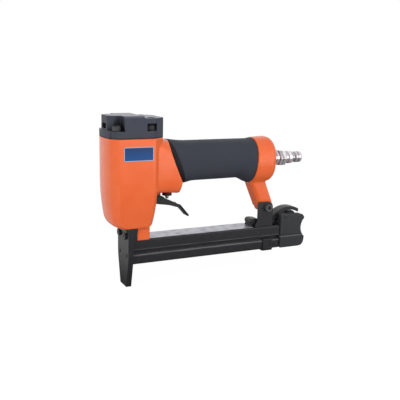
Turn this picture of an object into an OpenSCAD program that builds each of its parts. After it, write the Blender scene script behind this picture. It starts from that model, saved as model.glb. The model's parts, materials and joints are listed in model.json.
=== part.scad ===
// Pneumatic upholstery stapler: a cast cylinder block with handle and rear leg, a piston with a flat
// driver, a trigger valve, a long nose and a magazine whose tray pulls out to the rear for loading.
// Millimetres. X runs back along the magazine, Z is up, the origin is where the staple leaves the nose.

/* [Cylinder block] */
// Width of the block over its flat sides
body_w = 45.4; // [44:0.2:50]
// Length of the flat sides, centred on the cylinder axis
body_l = 42.2; // [40.6:0.2:46]
// Height of the block from its underside to the cap joint
body_h = 85.8; // [83:0.2:97]
// Chamfer at the two front corners
body_corner = 5.8; // [4:0.2:7]
// Bow of the front face over its width
front_bow = 2.2; // [1:0.1:3]
// Drawing-in of each side at the underside
body_draw = 6; // [3:0.2:6.6]
// Radius under the front of the block
chin_r = 10; // [6:0.5:12]
// Radius under the sides of the block
sole_r = 2; // [1:0.2:3]
// Thickness of the floor under the cylinder
floor_t = 9.7; // [9:0.1:11]
// Length of the cap seat behind the flat sides
seat_l = 10.6; // [8:0.2:12]
// Step in of the cap seat at its rear corners
seat_in = 8.8; // [6:0.2:10]

/* [Cap] */
// Height of the cap over its gasket
cap_h = 19.8; // [18:0.2:23]
// Height of the ledge under the bolt heads
ledge_h = 6.4; // [5:0.1:7.5]
// Length of the open notch at each front corner
notch_l = 12; // [11:0.2:13]
// Depth of the notches and side windows
notch_d = 10.9; // [10.6:0.1:11.4]
// Length of the side window at each rear bolt
window_l = 8.8; // [8:0.2:10]
// Height of the side window
window_h = 6.6; // [6:0.2:8]
// Width of the exhaust slot
exhaust_w = 10.6; // [8:0.2:12]
// Height of the exhaust slot
exhaust_h = 4.6; // [4:0.2:6]
// Thickness of the cap gasket
gasket_t = 0.6; // [0.4:0.1:1]
// Drawing-in of the top along its front half
crown_in = 3.2; // [2:0.2:4]
// Step down to the flat rear of the top
rear_drop = 1.9; // [1:0.1:2.6]
// Radius of the grooves along the corners of the ledge
groove_r = 0.8; // [0.5:0.1:1]

/* [Cylinder and driver] */
// Bore of the cylinder sleeve
bore_d = 29; // [27:0.2:29.6]
// Wall of the cylinder sleeve
sleeve_t = 2.2; // [1.6:0.1:2.3]
// Air space round the upper sleeve
air_gap = 1.9; // [1.2:0.1:2]
// Depth of the sleeve's rim below the cap joint
sleeve_drop = 11.6; // [10.6:0.1:12]
// Height of the rubber bumper
bumper_h = 8.5; // [7:0.5:9]
// Height of the piston
piston_h = 8; // [7.5:0.1:9]
// Width of the driver blade
blade_w = 12.8; // [12:0.1:13]
// Thickness of the driver blade
blade_t = 1; // [0.8:0.05:1.1]
// Lift of the head valve
head_lift = 2.4; // [1.8:0.1:2.6]

/* [Handle] */
// Drop of the handle axis below the cap joint
handle_drop = 27; // [26:0.2:29]
// Where the grip sleeve ends behind the cylinder axis
grip_end = 132; // [120:1:134]
// Width of the grip
grip_w = 35.4; // [33:0.2:38]
// Height of the grip at its middle
grip_h = 39.4; // [38:0.2:42]
// Wall of the rubber grip sleeve
grip_t = 2.6; // [2:0.1:3]
// Rise of the grip centre over the handle axis
grip_rise = 1.9; // [1:0.1:3]
// Where the slanted joint of grip and neck crosses the handle axis
slant_x = 48.7; // [47:0.1:52]
// Slant of that joint from upright
slant_a = 21.5; // [16:0.5:26]
// Radius of that joint seen along its slant
slant_r = 35; // [30:1:60]
// Width of the rounded handle end
end_w = 42.6; // [40:0.2:45]
// Height of the rounded handle end
end_h = 47; // [45:0.2:50]
// Straight length of the handle end
end_l = 16.5; // [14:0.5:20]
// Depth of its dome
dome_l = 10.5; // [9.6:0.1:15]
// Lean of the joint of grip and handle end, in mm per mm of height
rim_lean = 0.08; // [0:0.01:0.15]
// Radius of the air chamber in the handle
chamber_r = 11.4; // [9:0.2:12]

/* [Rear leg] */
// Width of the leg
leg_w = 17.6; // [16:0.2:18]
// Length of the leg where it leaves the handle end
leg_l = 13; // [12:0.5:18]
// Backward slant of the leg over its height
leg_slant = 12.8; // [9:0.2:14]

/* [Air plug] */
// Diameter of the plug nose
plug_d = 11.6; // [11:0.1:12.4]
// Width of the plug hexagon across flats
hex_af = 15; // [14:0.5:17]
// Bore through the plug
plug_bore = 7; // [6:0.2:7.6]

/* [Trigger and valve] */
// Depth of the trigger boss under the handle axis
boss_drop = 27.2; // [26.5:0.2:29]
// Where the boss ends behind the cylinder axis
boss_end = 50.2; // [49:0.2:52]
// Valve axis behind the cylinder axis
valve_x = 41.6; // [41:0.2:42.4]
// Outer diameter of the valve sleeve
valve_d = 12; // [11:0.2:12.6]
// Diameter of the valve stem
stem_d = 3.7; // [3:0.1:4]
// Trigger pivot behind the cylinder axis
pivot_x = 29.6; // [29.4:0.1:30.4]
// Trigger pivot below the boss
pivot_drop = 6; // [5.6:0.1:6.4]
// Diameter of the trigger pin
trigger_pin_d = 4; // [3:0.1:4.4]
// Outer width of the trigger
trigger_w = 13.8; // [12.6:0.2:16]
// Sheet thickness of the trigger
trigger_t = 2; // [1.6:0.1:2.2]
// Angle through which the trigger is pulled
trigger_pull = 7; // [5:0.5:8]

/* [Nose] */
// Height of the magazine top over the work
mag_top = 47; // [44:0.5:52]
// Gap between the magazine top and the block
neck_h = 11.8; // [11:0.2:15]
// Width of the nose plates at the top
nose_w = 31.2; // [29:0.2:33]
// Width of the nose tip
tip_w = 17.4; // [16.4:0.2:20]
// Height at which the plates start to taper
taper_h = 29; // [24:0.5:31]
// Thickness of the front plate
front_t = 3; // [2.4:0.1:3.6]
// Thickness of the rear guide plate
guide_t = 2.3; // [2:0.1:3]
// Length of the guide block over the magazine
guide_l = 6.6; // [5:0.1:7.4]
// Spacing of the two nose bolts
nose_bolt_gap = 17.2; // [16:0.2:17.6]

/* [Magazine] */
// Length of the fixed channel
mag_l = 164.8; // [158:0.5:172]
// Width of the fixed channel
mag_w = 23.2; // [22.8:0.1:24.4]
// Height of its outer skirts
skirt_h = 10.2; // [9:0.2:11]
// Overall height of the closed magazine
mag_h = 24.6; // [24:0.2:27]
// Sheet thickness of the channel
sheet_t = 1.5; // [1.2:0.1:1.6]
// Inner width of the staple passage
passage_w = 13.2; // [13.1:0.1:13.6]
// Width of the tray
tray_w = 22; // [21.6:0.1:22.4]
// Height of the tray walls
tray_h = 9.9; // [9.4:0.1:10.4]
// Sheet thickness of the tray
tray_t = 1.4; // [1.1:0.1:1.5]
// Width of the core that the staples straddle
core_w = 10.6; // [10:0.1:10.8]
// Travel of the tray to the rear
tray_travel = 100; // [80:5:105]
// Travel of the pusher on the core
pusher_travel = 95; // [70:5:100]
// Width of the foot clip on the tray
foot_l = 11.4; // [7:0.2:14]
// Where the foot clip starts behind the cylinder axis
foot_x = 146.4; // [140:0.2:152]

/* [Bracket] */
// Bracket bolt behind the cylinder axis
bolt_x = 151.2; // [149:0.2:152]
// Bracket bolt over the magazine
bolt_rise = 20.2; // [19:0.2:22]
// Sheet thickness of the bracket
bracket_t = 2; // [1.6:0.1:2.4]
// Length of the tall part of the bracket
bracket_l = 18; // [17:0.2:20]
// Length of its base in front of the tall part
toe_l = 5.2; // [4.6:0.2:8]

/* [Tail and latch] */
// Width of the tail block
tail_w = 25.4; // [24.6:0.2:28]
// Length of the tail block
tail_l = 30; // [28:0.5:33]
// Height of the tail block over the magazine
tail_rise = 12.2; // [11.6:0.2:14]
// Width of the latch lever
latch_w = 10.4; // [9:0.2:11]
// Sheet thickness of the latch lever
latch_t = 4.4; // [3:0.1:4.8]
// Outer radius of the lever's arch
arch_r = 25.4; // [25:0.2:26]
// Diameter of the latch pin
latch_pin_d = 3; // [2.4:0.1:3.4]

/* [Screws] */
// Thread diameter of the cap bolts
cap_bolt_d = 5; // [4:0.2:5.2]
// Head diameter of the cap bolts
cap_head_d = 7.8; // [7.2:0.2:8.2]
// Thread diameter of the nose bolts
nose_bolt_d = 4; // [3:0.2:4.4]
// Thread diameter of the bracket bolt
bracket_bolt_d = 5; // [4:0.2:5.4]

/* [Clearances] */
// Running clearance between parts that slide or swing
run = 0.3; // [0.2:0.05:0.35]
// Radial clearance of pins and threads in their holes
pin_gap = 0.04; // [0.02:0.01:0.08]
// Clearance between parts that are seated
seat = 0.1; // [0.05:0.05:0.15]

/* [Hidden] */
$fn = 64;
big = 400;
orange = [0.93, 0.37, 0.13];
slate = [0.26, 0.28, 0.32];
black = [0.13, 0.13, 0.14];
grey = [0.36, 0.37, 0.39];
steel = [0.72, 0.73, 0.75];
rubber = [0.2, 0.22, 0.25];
brass = [0.72, 0.58, 0.3];

// Levels
body_z = mag_top + neck_h;
body_top = body_z + body_h;
draw_h = body_h * 0.52;
handle_z = body_top - handle_drop;
boss_z = handle_z - boss_drop;
cap_z = body_top + gasket_t;
cap_top = cap_z + cap_h;
mag_z = mag_top - mag_h;

// Block and cap plan
front_x = -body_l / 2;
side_x = body_l / 2;
rear_x = side_x + 3.6;
seat_x = side_x + seat_l;
bolt_places = [
    [front_x + 6.2, body_w / 2 - 6.7],
    [side_x - 2.7, body_w / 2 - 6.7]
];

// Cylinder
sleeve_r = bore_d / 2 + sleeve_t;
air_r = sleeve_r + air_gap;
cyl_z = body_z + floor_t;
sleeve_top = body_top - sleeve_drop;
sleeve_l = sleeve_top - cyl_z;
bumper_top = cyl_z + bumper_h;
piston_z = sleeve_top - piston_h - 2;
stroke = piston_z - bumper_top - 0.4;
blade_z = stroke + 0.5;
piston_r = bore_d / 2 - 0.15;
ring_r = 1.2;
wrist_z = piston_z + 3;
head_r = sleeve_r + 0.4;
head_z = sleeve_top + 0.1;
head_stop = cap_z + ledge_h - 0.9;
head_h = head_stop - head_lift - 0.2 - head_z;
head_roof = cap_top - 5;
spring_room = 13;

// Nose
slot_t = blade_t + 0.3;
slot_w = blade_w + 0.4;
split_x = -slot_t / 2;
nose_x = split_x - front_t;
guide_x = split_x + guide_t;
block_x = split_x + guide_l;
nose_bolt_z = mag_top + 4.2;
rivet_y = mag_w / 2 - 2;
flange_h = 3.4;
flange_x = nose_x - 2.4;

// Magazine section
mag_x = guide_x + 0.1;
mag_end = mag_x + mag_l;
rail_in = passage_w / 2;
rail_out = rail_in + sheet_t;
core_top = mag_top - sheet_t - 1.4;
core_t = 1.1;
lip_z = mag_z + tray_h;
tongue_l = 13.2;
tongue_w = mag_w + 2.6;
rod_z = mag_z + 11.2;
rod_r = 1.5;
core_end = mag_end + 8.5;

// Handle
grip_z = handle_z + grip_rise;
neck_in = 3.4;
core_hw = grip_w / 2 - grip_t;
core_hh = grip_h / 2 - grip_t;
end_x = grip_end + 0.3;
dome_x = end_x + end_l;
dome_cut = 0.36;
dome_end = dome_x + dome_l * sqrt(1 - dome_cut * dome_cut);

// Trigger
pivot_z = boss_z - pivot_drop;
stem_tip = boss_z - 7.7;
stem_arm = valve_x - pivot_x;
stem_push = stem_arm * trigger_pull * PI / 180;
valve_top = boss_z + 21;
lug_w = trigger_w - 2 * trigger_t - 2 * run;

// Bracket and leg
bolt_z = mag_top + bolt_rise;
bracket_w = leg_w + 2 * bracket_t + 2 * seat;
bracket_x0 = bolt_x - 11.4;
bracket_x1 = bracket_x0 + bracket_l;
toe_x = bracket_x0 - toe_l;
toe_pin_x = bracket_x0 - 3.4;
toe_pin_z = mag_top + 5.2;
toe_r = 3;
base_far = 6.6;
toe_pin_r = 1.6;
toe_head_d = 2 * toe_r - 1.2;
toe_w = 12.4;
rivet_places = [bracket_x0 + 6.6, bracket_x1 - 3.6];

// Tail and latch
tail_x = mag_end + 0.6;
latch_x = tail_x + 5.6;
latch_z = mag_top + 7.9;
arch_x = tail_x + 13.8;
arch_z = mag_top + 18.2 - arch_r;
arch_in = arch_r - latch_t;
function lever_over(x) = arch_z + sqrt(pow(arch_r - 1, 2) - pow(x - arch_x, 2));
function lever_under(x) = arch_z + 0.4 + sqrt(pow(arch_in, 2) - pow(x - arch_x - 1.6, 2));
tail_floor = latch_z - 5;
tooth_x = mag_end - 4.8;

// Outline with softened corners: each point is [x, y, d], d the length taken off both edges
function unit(v) = v / norm(v);
function soft_outline(pts, n = 5) = [
    for (i = [0 : len(pts) - 1])
        let (
            c = pts[i],
            v = [c[0], c[1]],
            p = pts[(i + len(pts) - 1) % len(pts)],
            q = pts[(i + 1) % len(pts)],
            a = v + c[2] * unit([p[0], p[1]] - v),
            b = v + c[2] * unit([q[0], q[1]] - v)
        )
        for (k = [0 : c[2] > 0 ? n : 0])
            let (t = k / n)
            c[2] > 0 ? a * (1 - t) * (1 - t) + v * 2 * t * (1 - t) + b * t * t : v
];
function mirrored(pts) = concat(pts, [for (i = [len(pts) - 1 : -1 : 0]) [pts[i][0], -pts[i][1], pts[i][2]]]);
function ease(x, a, b) = let (t = min(1, max(0, (x - a) / (b - a)))) t * t * (3 - 2 * t);

// Side-view shape (x, z) given a width across Y
module across(w) {
    rotate([90, 0, 0])
        linear_extrude(w, center = true) children();
}

// Front-view shape (y, z) run along X
module along(x0, x1) {
    translate([x0, 0, 0])
        rotate([90, 0, 90])
            linear_extrude(x1 - x0) children();
}

// Cylinder lying on the X or Y axis
module rod_x(r, x0, x1) {
    translate([x0, 0, 0])
        rotate([0, 90, 0]) cylinder(r = r, h = x1 - x0);
}
module rod_y(r, y0, y1) {
    translate([0, y1, 0])
        rotate([90, 0, 0]) cylinder(r = r, h = y1 - y0);
}

// Ring of a loft: a rounded section across X with its own squareness
function loft_ring(x, hw, zl, zh, sq, sq_low = 0, m = 40) = [
    for (i = [0 : m - 1])
        let (a = 360 * i / m, c = cos(a), s = sin(a), e = 2 / (s < 0 && sq_low > 0 ? sq_low : sq))
        [x, hw * sign(c) * pow(abs(c), e), (zl + zh) / 2 + (zh - zl) / 2 * sign(s) * pow(abs(s), e)]
];
module loft(rings) {
    m = len(rings[0]);
    n = len(rings);
    polyhedron(
        points = [for (r = rings) each r],
        faces = concat(
            [[for (j = [0 : m - 1]) j]],
            [[for (j = [m - 1 : -1 : 0]) (n - 1) * m + j]],
            [for (i = [0 : n - 2], j = [0 : m - 1]) [i * m + j, (i + 1) * m + j, (i + 1) * m + (j + 1) % m]],
            [for (i = [0 : n - 2], j = [0 : m - 1]) [i * m + j, (i + 1) * m + (j + 1) % m, i * m + (j + 1) % m]]
        )
    );
}

// Coil spring on Z: one tube of 8 rings a curl and 6 sides
function coil_mid(r, h, turns, i) = let (t = i / (8 * turns)) [r * cos(45 * i), r * sin(45 * i), h * t];
module coil(r, wire, h, turns) {
    n = 8 * turns;
    mids = [for (i = [0 : n]) coil_mid(r, h - 2 * wire, turns, i) + [0, 0, wire]];
    gap = min([for (i = [0 : n - 8]) norm(mids[i + 8] - mids[i])]) - 2 * wire;
    echo(spring_radius = r, least_gap = gap);
    polyhedron(
        points = [
            for (i = [0 : n], j = [0 : 5])
                mids[i] + wire * (cos(60 * j) * [cos(45 * i), sin(45 * i), 0] + sin(60 * j) * [0, 0, 1])
        ],
        faces = concat(
            [[for (j = [0 : 5]) j]],
            [[for (j = [5 : -1 : 0]) n * 6 + j]],
            [for (i = [0 : n - 1], j = [0 : 5]) [i * 6 + j, (i + 1) * 6 + j, (i + 1) * 6 + (j + 1) % 6]],
            [for (i = [0 : n - 1], j = [0 : 5]) [i * 6 + j, (i + 1) * 6 + (j + 1) % 6, i * 6 + (j + 1) % 6]]
        )
    );
}

// Round seal lying flat
module seal(r, wire) {
    rotate_extrude() translate([r, 0]) circle(wire, $fn = 24);
}

// Socket-head bolt pointing down from z = 0, its head above
module socket_bolt(d, head_d, head_h, l, key) {
    translate([0, 0, -l]) cylinder(d = d, h = l + 0.01);
    difference() {
        cylinder(d = head_d, h = head_h);
        translate([0, 0, head_h - d * 0.5]) cylinder(d = key, h = d, $fn = 6);
    }
}

// Bowed front with its two corner posts, from the middle to the flat side
function front_points() = let (hw = body_w / 2 - body_corner) concat(
    [for (f = [0.25, 0.5, 0.75]) [front_x - front_bow * (1 - f * f), -hw * f, 0]],
    [[front_x, -hw, 0.5], [front_x + body_corner, -body_w / 2, 1.6]]
);

// Plan of the cap joint, shared by block, gasket and cap
module seat_plan() {
    polygon(soft_outline(mirrored(concat(front_points(), [
        [side_x - 0.6, -body_w / 2, 2],
        [seat_x, -body_w / 2 + seat_in, 2]
    ]))));
}

// Block: its plan drawn in on all sides towards the underside, with a round chin in front
function drawn(d, h, z) = z >= h ? 0 : let (r = (h * h + d * d) / (2 * d)) r - sqrt(r * r - (h - z) * (h - z));
function tucked(r, z) = z >= r ? 0 : r - sqrt(r * r - (r - z) * (r - z));
function block_plan() = soft_outline(mirrored(concat(front_points(), [
    [side_x - 0.6, -body_w / 2, 1.5],
    [rear_x, -body_w / 2 + 3.8, 1.5]
])));
function block_ring(z) =
    let (
        side = drawn(body_draw, draw_h, z) + tucked(sole_r, z),
        front = drawn(body_draw * 0.75, draw_h, z) + tucked(chin_r, z),
        rear = drawn(body_draw * 0.75, draw_h, z) + tucked(2 * sole_r, z)
    )
    [for (p = block_plan()) let (t = (p[0] - front_x) / (rear_x - front_x))
        [p[0] + front * (1 - t) - rear * t, p[1] * (1 - 2 * side / body_w), body_z + z]];
module block() {
    loft([for (z = concat(
        [for (f = [0, 0.02, 0.07, 0.15, 0.3, 0.5, 0.75, 1]) chin_r * f],
        [for (f = [0.36, 0.52, 0.72, 1]) draw_h * f])) block_ring(z)]);
    translate([0, 0, body_z + draw_h]) linear_extrude(body_h - draw_h) polygon(block_plan());
    // rear posts beside the neck
    intersection() {
        translate([0, 0, boss_z + 3]) linear_extrude(body_top - boss_z - 3) seat_plan();
        union() {
            translate([-big / 2, -big / 2, body_z + draw_h]) cube(big);
            translate([side_x - 2, -body_w / 2 + 0.8, body_z]) cube([big, body_w - 1.6, body_h]);
        }
    }
}

// Neck and grip share one run of sections, so that they meet flush
function grip_hw(x) = grip_w / 2 + (end_w - grip_w - 2) / 2 * ease(x, grip_end - 20, grip_end + 3);
function grip_lo(x) = grip_z - grip_h / 2 - 2.2 * (1 - ease(x, slant_x + 5, slant_x + 17))
    - (end_h / 2 + grip_rise - grip_h / 2 + 0.4) * ease(x, grip_end - 16, grip_end + 1);
function grip_hi(x) = grip_z + grip_h / 2 + 3.4 * (1 - ease(x, side_x + 5, slant_x + 12))
    + (end_h / 2 - grip_rise - grip_h / 2 - 0.8) * ease(x, grip_end - 5, grip_end + 2);
function boss_low(x) = boss_z - 1.2 * ease(x, valve_x - 6, boss_end - 2);
function neck_ring(x) = let (f = ease(x, side_x + 1, slant_x - 4))
    loft_ring(x, grip_hw(x) * f + (body_w / 2 - neck_in) * (1 - f),
        boss_low(x) + (grip_lo(x) - boss_low(x)) * ease(x, boss_end - 1, boss_end + 2.4),
        grip_hi(x) - 1.2 * (1 - f), 5 - 2.4 * f, 4.6 - 2 * ease(x, boss_end - 2, boss_end + 7));
function leaning(ring, share) = [for (p = ring) [p[0] + share * rim_lean * (p[2] - handle_z), p[1], p[2]]];
function grip_ring(x) = let (f = ease(x, grip_end - 40, grip_end))
    leaning(loft_ring(x, grip_hw(x), grip_lo(x), grip_hi(x), 2.6 - 0.4 * f), f);

// Slanted round face on which neck and grip meet
module slant_face(grow) {
    translate([slant_x, 0, handle_z])
        rotate([0, -slant_a, 0])
            translate([-slant_r, 0, -big / 2]) cylinder(r = slant_r + grow, h = big, $fn = 180);
}

// Oval bar under the grip
module handle_bar(grow) {
    flat = core_hh - core_hw;
    along(side_x, end_x + 4) union() {
        for (s = [-1, 1])
            translate([0, grip_z + s * flat]) circle(core_hw + grow);
        translate([-core_hw - grow, grip_z - flat]) square([2 * (core_hw + grow), 2 * flat]);
    }
}

module neck() {
    start = side_x - 5;
    intersection() {
        loft(concat(
            [for (i = [0 : 7]) neck_ring(start + (boss_end - 2.4 - start) * i / 7)],
            [for (x = [-0.9, 0.3, 1.3, 2.5, 6, 11, 17]) neck_ring(boss_end + x)]
        ));
        slant_face(0);
    }
}

module handle_end() {
    straight = [for (x = [0, 0.5, 1]) let (f = ease(x, 0, 1))
        leaning(loft_ring(end_x + end_l * x, end_w / 2 - 1 * (1 - f), handle_z - end_h / 2 - 0.4 * (1 - f),
            handle_z + end_h / 2 - 0.8 * (1 - f), 2.2 + 0.2 * f), 1 - x)];
    dome = [for (a = [14 : 11 : 69]) let (f = cos(a))
        loft_ring(dome_x + dome_l * sin(a), end_w / 2 * f, handle_z - end_h / 2 * f,
            handle_z + end_h / 2 * f, 2.4)];
    loft(concat(straight, dome, [loft_ring(dome_end, end_w / 2 * dome_cut, handle_z - end_h / 2 * dome_cut,
        handle_z + end_h / 2 * dome_cut, 2.2)]));
}

module leg() {
    top_z = handle_z - end_h / 2 + 8;
    heel_z = bolt_z - 0.6;
    heel_x = bracket_x0 + 3.6;
    lean = atan(leg_slant / (top_z - 6 - heel_z));
    edge = 3.4;
    difference() {
        across(leg_w) union() {
            polygon(soft_outline([
                [heel_x, heel_z, 1.5],
                [heel_x - leg_slant, top_z - 6, 0],
                [end_x, top_z, 0],
                [end_x + leg_l, top_z, 0],
                [bracket_x1 - 0.2, bolt_z + 5, 2],
                [bracket_x1 - 1.4, heel_z, 0]
            ]));
            translate([bolt_x, bolt_z]) circle(6);
        }
        // broken front edges
        for (s = [-1, 1])
            translate([heel_x, s * leg_w / 2, heel_z]) rotate([0, -lean, 0]) rotate([0, 0, 45])
                cube([edge, edge, 2 * end_h], center = true);
    }
}

module tongue() {
    difference() {
        translate([block_x, -tongue_w / 2, mag_top - 0.7])
            cube([tongue_l, tongue_w, body_z - mag_top + 6]);
        translate([block_x - 1, -mag_w / 2 - seat, mag_top - 5])
            cube([tongue_l + 2, mag_w + 2 * seat, 5]);
    }
}

module trigger_lug() {
    across(lug_w) union() {
        translate([pivot_x, pivot_z]) circle(3.8);
        translate([side_x - 2, pivot_z - 3.8]) square([pivot_x - side_x + 2, 7.6]);
        translate([side_x - 2, pivot_z]) square([pivot_x - side_x + 5.8, pivot_drop + 2]);
    }
}

module housing() {
    color(orange) difference() {
        union() {
            block();
            neck();
            handle_bar(0);
            handle_end();
            leg();
            tongue();
            trigger_lug();
        }
        translate([0, 0, cyl_z]) cylinder(r = sleeve_r + seat, h = big);
        translate([0, 0, cyl_z + 16]) cylinder(r = air_r, h = big);
        translate([0, 0, body_top]) cylinder(r = air_r + 20, h = big);
        translate([-slot_t / 2 - 0.3, -slot_w / 2 - 0.3, body_z - 1])
            cube([slot_t + 0.6, slot_w + 0.6, floor_t + 2]);
        translate([0, 0, handle_z]) rod_x(chamber_r, air_r - 4, dome_x + 2);
        translate([0, 0, handle_z]) rod_x(6.5 + pin_gap, dome_x, dome_end + 1);
        translate([valve_x, 0, boss_z - 3]) cylinder(d = valve_d + 2 * seat, h = 24.2);
        translate([pivot_x, 0, pivot_z]) rod_y(trigger_pin_d / 2 + pin_gap, -big, big);
        for (p = bolt_places, s = [-1, 1])
            translate([p[0], s * p[1], body_top - 3.4 * cap_bolt_d])
                cylinder(d = cap_bolt_d + 2 * pin_gap, h = 4 * cap_bolt_d);
        for (s = [-1, 1])
            translate([0, s * nose_bolt_gap / 2, nose_bolt_z])
                rod_x(nose_bolt_d / 2 + pin_gap, block_x - 1, block_x + 11);
        translate([bolt_x, 0, bolt_z]) rod_y(bracket_bolt_d / 2 + pin_gap, -big, 16 - leg_w / 2);
    }
}

module grip_sleeve() {
    color(rubber) difference() {
        loft([for (i = [0 : 22]) grip_ring(slant_x - 18 + (grip_end - slant_x + 18) * i / 22)]);
        handle_bar(seat);
        slant_face(run);
    }
}

// Bare name plate on the near side
module side_plate() {
    plate_l = body_l * 0.68;
    plate_h = 13;
    color([0.12, 0.3, 0.55])
        translate([4.2, -body_w / 2, body_top - 13.8])
            rotate([90, 0, 0]) linear_extrude(0.4)
                polygon(soft_outline([for (c = [[-1, -1], [1, -1], [1, 1], [-1, 1]])
                    [c[0] * plate_l / 2, c[1] * plate_h / 2, 0.8]]));
}

// Cap: a base ledge with a raised crown that is notched at the bolts
module crown_plan() {
    hw = body_w / 2;
    polygon(soft_outline(mirrored([
        [front_x - 0.4, -exhaust_w / 2 - 3.2, 0.8],
        [front_x + 5, -hw + notch_d, 0.8],
        [front_x + notch_l, -hw + notch_d, 2],
        [front_x + notch_l, -hw, 0.8],
        [side_x - 0.6, -hw, 2],
        [seat_x, -hw + seat_in, 2]
    ])));
}
// Roof over the crown: sloping sides along the front part, a step down to a flat rear part
module roof_part(x0, x1, inset, drop, top) {
    hw = body_w / 2;
    along(x0, x1) polygon([
        [-hw, cap_z],
        [hw, cap_z],
        [hw, top - drop],
        [hw - inset, top],
        [-hw + inset, top],
        [-hw, top - drop]
    ]);
}
module crown_roof() {
    split = front_x + notch_l + 19.7;
    roof_part(front_x - 5, split, crown_in, crown_in * 0.55, cap_top);
    roof_part(split, seat_x + 5, 0.6, 0.4, cap_top - rear_drop);
}
module cylinder_cap() {
    hw = body_w / 2;
    window_x = side_x + 0.2 - window_l;
    color(slate) difference() {
        union() {
            translate([0, 0, cap_z]) linear_extrude(ledge_h) seat_plan();
            intersection() {
                translate([0, 0, cap_z + ledge_h - 0.5]) linear_extrude(cap_h - ledge_h + 0.5) crown_plan();
                crown_roof();
            }
        }
        translate([0, 0, cap_z - 1]) cylinder(r = head_r + seat, h = head_stop - cap_z + 1);
        translate([0, 0, cap_z]) cylinder(r = spring_room, h = head_roof - cap_z);
        translate([front_x - 2, -exhaust_w / 2, cap_z + ledge_h + 1.4])
            cube([12, exhaust_w, exhaust_h]);
        for (s = [-1, 1]) {
            // rear bolt: counterbore from the top and a window in the side
            translate([bolt_places[1][0], s * bolt_places[1][1], cap_z + ledge_h])
                cylinder(d = cap_head_d + 0.8, h = cap_h);
            translate([window_x, s > 0 ? hw - notch_d * 0.6 : -hw - 1, cap_z + ledge_h])
                cube([window_l, notch_d * 0.6 + 1, window_h]);
            for (p = bolt_places)
                translate([p[0], s * p[1], cap_z - 1]) cylinder(d = cap_bolt_d + 2 * seat, h = ledge_h + 2);
            // grooves along the corners of the ledge
            for (p = [[front_x, hw - body_corner], [front_x + body_corner, hw], [side_x - 0.6, hw]])
                translate([p[0], s * p[1], cap_z - 1]) cylinder(r = groove_r, h = ledge_h + 1);
        }
    }
}

module cap_gasket() {
    color(black) translate([0, 0, body_top]) linear_extrude(gasket_t) difference() {
        seat_plan();
        circle(air_r);
        for (p = bolt_places, s = [-1, 1])
            translate([p[0], s * p[1]]) circle(d = cap_bolt_d + 2 * seat);
    }
}

module cap_bolts() {
    color(black) for (p = bolt_places, s = [-1, 1])
        translate([p[0], s * p[1], cap_z + ledge_h])
            socket_bolt(cap_bolt_d, cap_head_d, cap_bolt_d, ledge_h + gasket_t + 3 * cap_bolt_d, cap_bolt_d * 0.9);
}

module cylinder_sleeve() {
    color(steel) translate([0, 0, cyl_z]) difference() {
        cylinder(r = sleeve_r, h = sleeve_l);
        translate([0, 0, -1]) cylinder(d = bore_d, h = sleeve_l + 2);
        translate([0, 0, 10]) rotate_extrude() translate([sleeve_r - 1.1, -1]) square([3, 2]);
        for (a = [0 : 45 : 315])
            rotate([0, 0, a]) translate([0, 0, bumper_h + 14]) rod_x(1.2, sleeve_r - 4, sleeve_r + 2);
    }
}

module sleeve_seal() {
    color(black) translate([0, 0, cyl_z + 10]) seal(sleeve_r - 0.52, 0.54);
}

module bumper() {
    color(rubber) translate([0, 0, cyl_z]) difference() {
        union() {
            cylinder(r = bore_d / 2 - 0.2, h = bumper_h - 3);
            translate([0, 0, bumper_h - 3]) cylinder(r1 = bore_d / 2 - 0.2, r2 = bore_d / 2 - 2.2, h = 3);
        }
        translate([0, 0, -1]) cylinder(r = slot_w / 2 + 0.8, h = bumper_h + 2);
    }
}

module piston() {
    color(steel) difference() {
        translate([0, 0, piston_z]) cylinder(r = piston_r, h = piston_h);
        translate([0, 0, piston_z + piston_h / 2])
            rotate_extrude() translate([piston_r - 2.3, -1.3]) square([4, 2.6]);
        translate([0, 0, piston_z + piston_h - 2.4]) cylinder(r1 = 7, r2 = 9.4, h = 3);
        translate([-blade_t / 2 - pin_gap, -blade_w / 2 - pin_gap, piston_z - 1])
            cube([blade_t + 2 * pin_gap, blade_w + 2 * pin_gap, 7]);
        translate([0, 0, wrist_z]) rod_x(1.25 + pin_gap, -big, big);
    }
}

module piston_ring() {
    color(black) translate([0, 0, piston_z + piston_h / 2]) seal(piston_r - 1.1, ring_r - 0.03);
}

module driver_blade() {
    color(steel) difference() {
        translate([-blade_t / 2, -blade_w / 2, blade_z]) cube([blade_t, blade_w, piston_z + 5.9 - blade_z]);
        translate([0, 0, wrist_z]) rod_x(1.25 + pin_gap, -5, 5);
    }
}

module wrist_pin() {
    color(steel) translate([0, 0, wrist_z]) rod_x(1.25, -6, 6);
}

module head_valve() {
    color(black) difference() {
        translate([0, 0, head_z]) cylinder(r = head_r - 0.2, h = head_h);
        translate([0, 0, head_z - 1]) cylinder(r = bore_d / 2 - 3, h = 6);
        translate([0, 0, head_z + head_h - 5]) cylinder(r = head_r - 5, h = 10);
        translate([0, 0, head_z + head_h - 1.5])
            rotate_extrude() translate([head_r - 1.7, -0.75]) square([3, 1.5]);
    }
}

module head_valve_ring() {
    color(rubber) translate([0, 0, head_z + head_h - 1.5]) seal(head_r - 0.95, 0.68);
}

module head_valve_spring() {
    color(steel) translate([0, 0, head_z + head_h - 5 + 0.05])
        coil(head_r - 7, 0.7, head_roof - head_z - head_h + 4.9, 3);
}

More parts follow.
